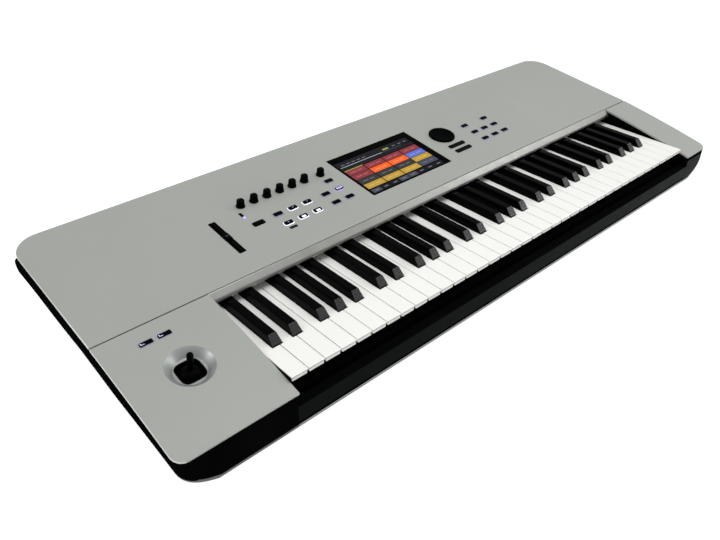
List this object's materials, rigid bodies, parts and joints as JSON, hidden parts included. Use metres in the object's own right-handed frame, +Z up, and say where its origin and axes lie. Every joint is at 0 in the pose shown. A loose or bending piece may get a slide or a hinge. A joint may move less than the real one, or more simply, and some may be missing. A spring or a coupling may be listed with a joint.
{
  "type": "keyboard synthesizer workstation",
  "caption": "Low sloping music keyboard with dark hull-shaped ends, grey top panel, piano-style keys, small knobs, buttons, a dial, a flush screen and a joystick in a round bowl.",
  "frame": {"origin": "on the floor under the middle of the instrument, below the centre of its outline", "axes": "+X along the keys towards the high notes, +Y away from the player towards the rear, +Z up"},
  "size_m": [1.0706, 0.386, 0.116],
  "materials": {
    "panel_grey_paint": "fine satin grey paint",
    "case_black": "smooth satin black",
    "key_white": "smooth white",
    "key_black": "gloss black",
    "knob_black": "soft black",
    "button_black": "satin black",
    "display_glass": "polished clear sheet with a black border",
    "screen_image": "lit display picture",
    "lit_surround": "translucent light guide, lit",
    "panel_marking": "thin printed ink",
    "steel_sheet": "zinc plated",
    "black_steel": "thin matt black coat",
    "bowl_metal": "bright metallic coat",
    "circuit_board": "solder-masked",
    "rubber_black": "soft rubber",
    "felt_dark": "felt"
  },
  "bodies": {
    "casing": {"bottom_chassis": "steel_sheet", "left_block": "case_black", "right_block": "case_black", "left_cover": "panel_grey_paint", "right_cover": "panel_grey_paint", "top_panel": "panel_grey_paint", "key_slip": "case_black", "rear_panel": "case_black", "display_glass": "display_glass", "lcd_module": "steel_sheet", "keybed_frame": "black_steel", "contact_board": "circuit_board", "main_board": "circuit_board", "power_supply": "steel_sheet", "panel_board_left": "circuit_board", "panel_board_right": "circuit_board", "joystick_base": "bowl_metal"},
    "white_keys_octave_1": {"white_keys_octave_1": "key_white"},
    "black_keys_octave_1": {"black_keys_octave_1": "key_black"},
    "white_keys_octave_2": {"white_keys_octave_2": "key_white"},
    "black_keys_octave_2": {"black_keys_octave_2": "key_black"},
    "white_keys_octave_4": {"white_keys_octave_4": "key_white"},
    "black_keys_octave_4": {"black_keys_octave_4": "key_black"},
    "white_keys_octave_5": {"white_keys_octave_5": "key_white"},
    "black_keys_octave_5": {"black_keys_octave_5": "key_black"},
    "key_c": {"key_c": "key_white"},
    "key_c_sharp": {"key_c_sharp": "key_black"},
    "key_d": {"key_d": "key_white"},
    "key_d_sharp": {"key_d_sharp": "key_black"},
    "key_e": {"key_e": "key_white"},
    "key_f": {"key_f": "key_white"},
    "key_f_sharp": {"key_f_sharp": "key_black"},
    "key_g": {"key_g": "key_white"},
    "key_g_sharp": {"key_g_sharp": "key_black"},
    "key_a": {"key_a": "key_white"},
    "key_a_sharp": {"key_a_sharp": "key_black"},
    "key_b": {"key_b": "key_white"},
    "knob_1": {"knob_1": "knob_black"},
    "knob_2": {"knob_2": "knob_black"},
    "knob_3": {"knob_3": "knob_black"},
    "knob_4": {"knob_4": "knob_black"},
    "knob_5": {"knob_5": "knob_black"},
    "knob_6": {"knob_6": "knob_black"},
    "tempo_knob": {"tempo_knob": "knob_black"},
    "value_dial": {"value_dial": "knob_black"},
    "slider_cap": {"slider_cap": "knob_black"},
    "joystick_gimbal": {"joystick_gimbal": "steel_sheet"},
    "joystick_lever": {"joystick_lever": "knob_black"},
    "button_row_upper": {"button_row_upper": "button_black"},
    "button_row_lower": {"button_row_lower": "button_black"},
    "button_group_centre": {"button_group_centre": "button_black"},
    "button_row_right_rear": {"button_row_right_rear": "button_black"},
    "button_row_right_middle": {"button_row_right_middle": "button_black"},
    "button_row_right_front": {"button_row_right_front": "button_black"},
    "select_button": {"select_button": "button_black"},
    "decrement_button": {"decrement_button": "button_black"},
    "increment_button": {"increment_button": "button_black"},
    "switch_one_button": {"switch_one_button": "button_black"},
    "switch_two_button": {"switch_two_button": "button_black"},
    "power_button": {"power_button": "button_black"}
  },
  "joints": [
    {"name": "white_keys_octave_1_turn", "type": "hinge", "parent": "casing", "child": "white_keys_octave_1", "pos_m": [0, 0.017, 0.05], "axis": [1, 0, 0], "range_deg": [0, 2.94], "stiffness_Nm_per_rad": 8, "springref_deg": -11.46},
    {"name": "black_keys_octave_1_turn", "type": "hinge", "parent": "casing", "child": "black_keys_octave_1", "pos_m": [0, 0.017, 0.05], "axis": [1, 0, 0], "range_deg": [0, 2.94], "stiffness_Nm_per_rad": 4, "springref_deg": -11.46},
    {"name": "white_keys_octave_2_turn", "type": "hinge", "parent": "casing", "child": "white_keys_octave_2", "pos_m": [0, 0.017, 0.05], "axis": [1, 0, 0], "range_deg": [0, 2.94], "stiffness_Nm_per_rad": 8, "springref_deg": -11.46},
    {"name": "black_keys_octave_2_turn", "type": "hinge", "parent": "casing", "child": "black_keys_octave_2", "pos_m": [0, 0.017, 0.05], "axis": [1, 0, 0], "range_deg": [0, 2.94], "stiffness_Nm_per_rad": 4, "springref_deg": -11.46},
    {"name": "white_keys_octave_4_turn", "type": "hinge", "parent": "casing", "child": "white_keys_octave_4", "pos_m": [0, 0.017, 0.05], "axis": [1, 0, 0], "range_deg": [0, 2.94], "stiffness_Nm_per_rad": 8, "springref_deg": -11.46},
    {"name": "black_keys_octave_4_turn", "type": "hinge", "parent": "casing", "child": "black_keys_octave_4", "pos_m": [0, 0.017, 0.05], "axis": [1, 0, 0], "range_deg": [0, 2.94], "stiffness_Nm_per_rad": 4, "springref_deg": -11.46},
    {"name": "white_keys_octave_5_turn", "type": "hinge", "parent": "casing", "child": "white_keys_octave_5", "pos_m": [0, 0.017, 0.05], "axis": [1, 0, 0], "range_deg": [0, 2.94], "stiffness_Nm_per_rad": 9, "springref_deg": -11.46},
    {"name": "black_keys_octave_5_turn", "type": "hinge", "parent": "casing", "child": "black_keys_octave_5", "pos_m": [0, 0.017, 0.05], "axis": [1, 0, 0], "range_deg": [0, 2.94], "stiffness_Nm_per_rad": 4, "springref_deg": -11.46},
    {"name": "key_c_turn", "type": "hinge", "parent": "casing", "child": "key_c", "pos_m": [0, 0.017, 0.05], "axis": [1, 0, 0], "range_deg": [0, 2.94], "stiffness_Nm_per_rad": 1.2, "springref_deg": -11.46},
    {"name": "key_c_sharp_turn", "type": "hinge", "parent": "casing", "child": "key_c_sharp", "pos_m": [0, 0.017, 0.05], "axis": [1, 0, 0], "range_deg": [0, 2.94], "stiffness_Nm_per_rad": 0.8, "springref_deg": -11.46},
    {"name": "key_d_turn", "type": "hinge", "parent": "casing", "child": "key_d", "pos_m": [0, 0.017, 0.05], "axis": [1, 0, 0], "range_deg": [0, 2.94], "stiffness_Nm_per_rad": 1.2, "springref_deg": -11.46},
    {"name": "key_d_sharp_turn", "type": "hinge", "parent": "casing", "child": "key_d_sharp", "pos_m": [0, 0.017, 0.05], "axis": [1, 0, 0], "range_deg": [0, 2.94], "stiffness_Nm_per_rad": 0.8, "springref_deg": -11.46},
    {"name": "key_e_turn", "type": "hinge", "parent": "casing", "child": "key_e", "pos_m": [0, 0.017, 0.05], "axis": [1, 0, 0], "range_deg": [0, 2.94], "stiffness_Nm_per_rad": 1.2, "springref_deg": -11.46},
    {"name": "key_f_turn", "type": "hinge", "parent": "casing", "child": "key_f", "pos_m": [0, 0.017, 0.05], "axis": [1, 0, 0], "range_deg": [0, 2.94], "stiffness_Nm_per_rad": 1.2, "springref_deg": -11.46},
    {"name": "key_f_sharp_turn", "type": "hinge", "parent": "casing", "child": "key_f_sharp", "pos_m": [0, 0.017, 0.05], "axis": [1, 0, 0], "range_deg": [0, 2.94], "stiffness_Nm_per_rad": 0.8, "springref_deg": -11.46},
    {"name": "key_g_turn", "type": "hinge", "parent": "casing", "child": "key_g", "pos_m": [0, 0.017, 0.05], "axis": [1, 0, 0], "range_deg": [0, 2.94], "stiffness_Nm_per_rad": 1.2, "springref_deg": -11.46},
    {"name": "key_g_sharp_turn", "type": "hinge", "parent": "casing", "child": "key_g_sharp", "pos_m": [0, 0.017, 0.05], "axis": [1, 0, 0], "range_deg": [0, 2.94], "stiffness_Nm_per_rad": 0.8, "springref_deg": -11.46},
    {"name": "key_a_turn", "type": "hinge", "parent": "casing", "child": "key_a", "pos_m": [0, 0.017, 0.05], "axis": [1, 0, 0], "range_deg": [0, 2.94], "stiffness_Nm_per_rad": 1.2, "springref_deg": -11.46},
    {"name": "key_a_sharp_turn", "type": "hinge", "parent": "casing", "child": "key_a_sharp", "pos_m": [0, 0.017, 0.05], "axis": [1, 0, 0], "range_deg": [0, 2.94], "stiffness_Nm_per_rad": 0.8, "springref_deg": -11.46},
    {"name": "key_b_turn", "type": "hinge", "parent": "casing", "child": "key_b", "pos_m": [0, 0.017, 0.05], "axis": [1, 0, 0], "range_deg": [0, 2.94], "stiffness_Nm_per_rad": 1.2, "springref_deg": -11.46},
    {"name": "knob_1_turn", "type": "hinge", "parent": "casing", "child": "knob_1", "pos_m": [-0.2548, 0.09884, 0.10415], "axis": [0, -0.1248, 0.9922], "range_deg": [-150, 150]},
    {"name": "knob_2_turn", "type": "hinge", "parent": "casing", "child": "knob_2", "pos_m": [-0.2327, 0.09884, 0.10415], "axis": [0, -0.1248, 0.9922], "range_deg": [-150, 150]},
    {"name": "knob_3_turn", "type": "hinge", "parent": "casing", "child": "knob_3", "pos_m": [-0.2106, 0.09884, 0.10415], "axis": [0, -0.1248, 0.9922], "range_deg": [-150, 150]},
    {"name": "knob_4_turn", "type": "hinge", "parent": "casing", "child": "knob_4", "pos_m": [-0.1885, 0.09884, 0.10415], "axis": [0, -0.1248, 0.9922], "range_deg": [-150, 150]},
    {"name": "knob_5_turn", "type": "hinge", "parent": "casing", "child": "knob_5", "pos_m": [-0.1664, 0.09884, 0.10415], "axis": [0, -0.1248, 0.9922], "range_deg": [-150, 150]},
    {"name": "knob_6_turn", "type": "hinge", "parent": "casing", "child": "knob_6", "pos_m": [-0.1443, 0.09884, 0.10415], "axis": [0, -0.1248, 0.9922], "range_deg": [-150, 150]},
    {"name": "tempo_knob_turn", "type": "hinge", "parent": "casing", "child": "tempo_knob", "pos_m": [-0.1141, 0.09884, 0.10415], "axis": [0, -0.1248, 0.9922], "range_deg": [-150, 150]},
    {"name": "value_dial_turn", "type": "hinge", "parent": "casing", "child": "value_dial", "pos_m": [0.1284, 0.07801, 0.10153], "axis": [0, -0.1248, 0.9922], "continuous": true},
    {"name": "slider_cap_slide", "type": "slide", "parent": "casing", "child": "slider_cap", "axis": [0, 0.9922, 0.1248], "range_m": [-0.03, 0.03]},
    {"name": "joystick_gimbal_turn", "type": "hinge", "parent": "casing", "child": "joystick_gimbal", "pos_m": [-0.458, -0.09644, 0.05417], "axis": [1, 0, 0], "range_deg": [-22, 22], "stiffness_Nm_per_rad": 0.25},
    {"name": "joystick_lever_turn", "type": "hinge", "parent": "joystick_gimbal", "child": "joystick_lever", "pos_m": [-0.458, -0.09644, 0.05417], "axis": [0, 0.9812, 0.1932], "range_deg": [-22, 22], "stiffness_Nm_per_rad": 0.25},
    {"name": "button_row_upper_press", "type": "slide", "parent": "casing", "child": "button_row_upper", "axis": [0, 0.1248, -0.9922], "range_m": [0, 0.0005], "stiffness_N_per_m": 400, "springref_m": -0.002},
    {"name": "button_row_lower_press", "type": "slide", "parent": "casing", "child": "button_row_lower", "axis": [0, 0.1248, -0.9922], "range_m": [0, 0.0005], "stiffness_N_per_m": 400, "springref_m": -0.002},
    {"name": "button_group_centre_press", "type": "slide", "parent": "casing", "child": "button_group_centre", "axis": [0, 0.1248, -0.9922], "range_m": [0, 0.0005], "stiffness_N_per_m": 400, "springref_m": -0.002},
    {"name": "button_row_right_rear_press", "type": "slide", "parent": "casing", "child": "button_row_right_rear", "axis": [0, 0.1248, -0.9922], "range_m": [0, 0.0005], "stiffness_N_per_m": 400, "springref_m": -0.002},
    {"name": "button_row_right_middle_press", "type": "slide", "parent": "casing", "child": "button_row_right_middle", "axis": [0, 0.1248, -0.9922], "range_m": [0, 0.0005], "stiffness_N_per_m": 400, "springref_m": -0.002},
    {"name": "button_row_right_front_press", "type": "slide", "parent": "casing", "child": "button_row_right_front", "axis": [0, 0.1248, -0.9922], "range_m": [0, 0.0005], "stiffness_N_per_m": 400, "springref_m": -0.002},
    {"name": "select_button_press", "type": "slide", "parent": "casing", "child": "select_button", "axis": [0, 0.1248, -0.9922], "range_m": [0, 0.0005], "stiffness_N_per_m": 400, "springref_m": -0.002},
    {"name": "decrement_button_press", "type": "slide", "parent": "casing", "child": "decrement_button", "axis": [0, 0.1248, -0.9922], "range_m": [0, 0.0005], "stiffness_N_per_m": 400, "springref_m": -0.002},
    {"name": "increment_button_press", "type": "slide", "parent": "casing", "child": "increment_button", "axis": [0, 0.1248, -0.9922], "range_m": [0, 0.0005], "stiffness_N_per_m": 400, "springref_m": -0.002},
    {"name": "switch_one_button_press", "type": "slide", "parent": "casing", "child": "switch_one_button", "axis": [0, 0.1729, -0.9849], "range_m": [0, 0.0005], "stiffness_N_per_m": 400, "springref_m": -0.002},
    {"name": "switch_two_button_press", "type": "slide", "parent": "casing", "child": "switch_two_button", "axis": [0, 0.1729, -0.9849], "range_m": [0, 0.0005], "stiffness_N_per_m": 400, "springref_m": -0.002},
    {"name": "power_button_press", "type": "slide", "parent": "casing", "child": "power_button", "axis": [0, -1, 0], "range_m": [0, 0.002], "stiffness_N_per_m": 400, "springref_m": -0.002}
  ]
}
